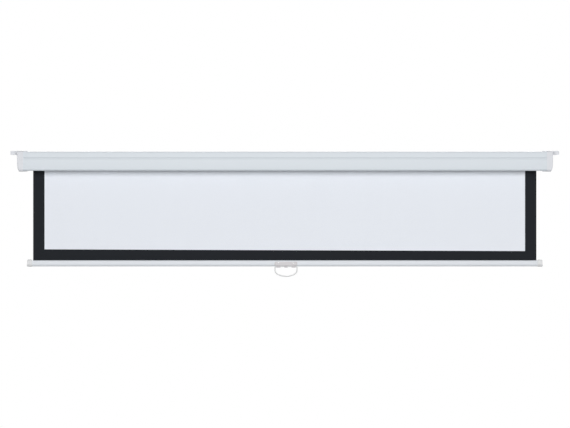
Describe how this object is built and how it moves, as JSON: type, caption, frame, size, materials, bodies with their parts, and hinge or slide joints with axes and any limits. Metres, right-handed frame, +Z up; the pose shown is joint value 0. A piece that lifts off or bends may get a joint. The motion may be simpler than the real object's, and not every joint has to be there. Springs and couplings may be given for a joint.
{
  "type": "pull down projector screen",
  "caption": "Wall or ceiling projector screen: a long case with a spring roller, white fabric with black borders, a bottom slat, end knobs and a swinging pull ring.",
  "frame": {"origin": "middle of the case's flat back face, half way along it and half way up it", "axes": "+X along the case to the right as seen from the front, +Y into the wall, +Z up; the front faces -Y"},
  "size_m": [2.02, 0.0727, 0.4635],
  "materials": {
    "case_paint": "white powder coat, satin",
    "cap_plastic": "white moulded plastic, satin",
    "plated_steel": "zinc plated",
    "brass": "turned",
    "spring_steel": "oiled spring wire",
    "screen_fabric": "matt white, with a matt black border and back",
    "nylon": "natural nylon",
    "slat_paint": "white powder coat, satin",
    "clip_paint": "pale moulded plastic",
    "ring_plastic": "pale plastic-coated wire"
  },
  "bodies": {
    "case": {"case_shell": "case_paint", "end_cap_left": "cap_plastic", "end_cap_right": "cap_plastic", "roller_bracket_left": "plated_steel", "roller_bracket_right": "plated_steel", "top_screw_left": "plated_steel", "top_screw_right": "plated_steel", "end_screw_left_upper": "plated_steel", "end_screw_left_lower": "plated_steel", "end_screw_right_upper": "plated_steel", "end_screw_right_lower": "plated_steel", "idle_bush": "brass", "spring_arbor": "plated_steel", "ratchet_wheel": "plated_steel", "spring_collar": "plated_steel", "torsion_spring": "spring_steel"},
    "roller": {"roller_tube": "plated_steel", "fabric_roll": "screen_fabric", "ratchet_head": "nylon", "pawl_pin_a": "plated_steel", "pawl_pin_b": "plated_steel", "spring_anchor": "nylon", "idle_plug": "nylon", "idle_pin": "plated_steel"},
    "pawl_a": {"pawl_a": "plated_steel"},
    "pawl_b": {"pawl_b": "plated_steel"},
    "slat": {"slat": "slat_paint", "slat_cap_left": "cap_plastic", "slat_cap_right": "cap_plastic", "fabric_spline": "nylon", "screen_fabric": "screen_fabric", "handle_clip": "clip_paint", "clip_rivet_left": "plated_steel", "clip_rivet_right": "plated_steel"},
    "handle": {"handle_ring": "ring_plastic"}
  },
  "joints": [
    {"name": "slat_drop", "type": "slide", "parent": "case", "child": "slat", "axis": [0, 0, -1], "range_m": [-0.3256, 0.7489], "deforming": ["screen_fabric"]},
    {"name": "roller_turn", "type": "hinge", "parent": "case", "child": "roller", "pos_m": [0, -0.038, 0], "axis": [-1, 0, 0], "range_deg": [-901, 2071]},
    {"name": "pawl_a_swing", "type": "hinge", "parent": "roller", "child": "pawl_a", "pos_m": [0.957, -0.0254, 0], "axis": [1, 0, 0], "range_deg": [0, 12]},
    {"name": "pawl_b_swing", "type": "hinge", "parent": "roller", "child": "pawl_b", "pos_m": [0.957, -0.0506, 0], "axis": [1, 0, 0], "range_deg": [0, 12]},
    {"name": "handle_swing", "type": "hinge", "parent": "slat", "child": "handle", "pos_m": [0.004, -0.02648, -0.3871], "axis": [-1, 0, 0], "range_deg": [-38, 100]}
  ],
  "couplings": [
    {"joint": "roller_turn", "follows": "slat_drop", "rad_per_m": 48.239}
  ]
}
